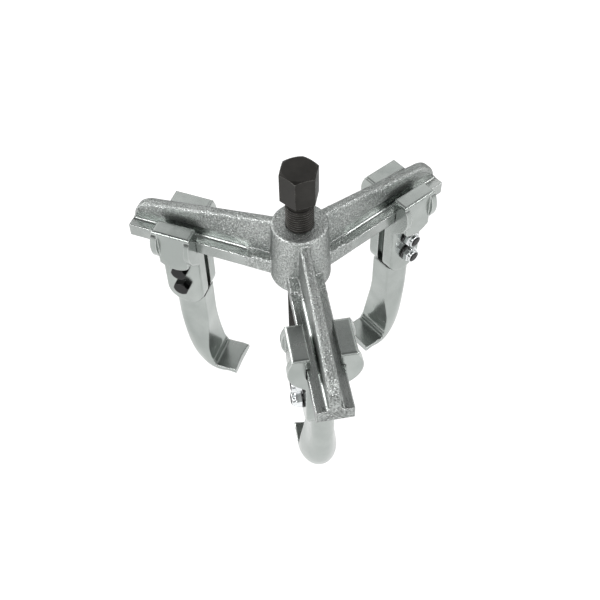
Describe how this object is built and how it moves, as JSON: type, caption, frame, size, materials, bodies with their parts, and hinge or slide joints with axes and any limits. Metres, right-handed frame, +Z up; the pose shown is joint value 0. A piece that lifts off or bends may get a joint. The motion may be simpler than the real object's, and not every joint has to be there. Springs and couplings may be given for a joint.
{
  "type": "gear puller",
  "caption": "Mechanical gear puller: sliding claw legs on a ribbed forged spider, with a central hexagon-headed pressure screw.",
  "frame": {"origin": "tip of the pressure screw in its drawn position", "axes": "+Z up along the screw's axis to its hexagon, -Y along the front arm; the other arms are 120 degrees apart"},
  "size_m": [0.1676, 0.1467, 0.1775],
  "materials": {
    "forged_steel": "plated forging, fine cast texture",
    "satin_steel": "fine satin",
    "black_oxide_screw": "black oxide, slightly worn",
    "hardened_point": "ground",
    "black_fasteners": "black oxide",
    "zinc_nuts": "bright zinc",
    "nylon": "matt"
  },
  "bodies": {
    "spider": {"spider": "forged_steel"},
    "screw_point": {"screw_point": "hardened_point"},
    "pressure_screw": {"pressure_screw": "black_oxide_screw"},
    "left_leg": {"left_claw": "satin_steel", "left_bolt_side_cheek": "satin_steel", "left_nut_side_cheek": "satin_steel", "left_upper_bolt": "black_fasteners", "left_upper_washer": "black_fasteners", "left_upper_nut": "zinc_nuts", "left_upper_insert": "nylon", "left_lower_bolt": "black_fasteners", "left_lower_washer": "black_fasteners", "left_lower_nut": "zinc_nuts", "left_lower_insert": "nylon"},
    "right_leg": {"right_claw": "satin_steel", "right_bolt_side_cheek": "satin_steel", "right_nut_side_cheek": "satin_steel", "right_upper_bolt": "black_fasteners", "right_upper_washer": "black_fasteners", "right_upper_nut": "zinc_nuts", "right_upper_insert": "nylon", "right_lower_bolt": "black_fasteners", "right_lower_washer": "black_fasteners", "right_lower_nut": "zinc_nuts", "right_lower_insert": "nylon"},
    "front_leg": {"front_claw": "satin_steel", "front_bolt_side_cheek": "satin_steel", "front_nut_side_cheek": "satin_steel", "front_upper_bolt": "black_fasteners", "front_upper_washer": "black_fasteners", "front_upper_nut": "zinc_nuts", "front_upper_insert": "nylon", "front_lower_bolt": "black_fasteners", "front_lower_washer": "black_fasteners", "front_lower_nut": "zinc_nuts", "front_lower_insert": "nylon"}
  },
  "joints": [
    {"name": "left_leg_slide", "type": "slide", "parent": "spider", "child": "left_leg", "axis": [-0.866, 0.5, 0], "range_m": [-0.0248, 0.0157]},
    {"name": "right_leg_slide", "type": "slide", "parent": "spider", "child": "right_leg", "axis": [0.866, 0.5, 0], "range_m": [-0.0285, 0.012]},
    {"name": "front_leg_slide", "type": "slide", "parent": "spider", "child": "front_leg", "axis": [0, -1, 0], "range_m": [-0.0177, 0.0228]},
    {"name": "screw_advance", "type": "slide", "parent": "spider", "child": "screw_point", "axis": [0, 0, 1], "range_m": [-0.018, 0.06]},
    {"name": "screw_turn", "type": "hinge", "parent": "screw_point", "child": "pressure_screw", "pos_m": [0, 0, 0], "axis": [0, 0, 1], "range_deg": [-4325, 14405]}
  ],
  "couplings": [
    {"joint": "screw_turn", "follows": "screw_advance", "rad_per_m": 4188.8}
  ]
}
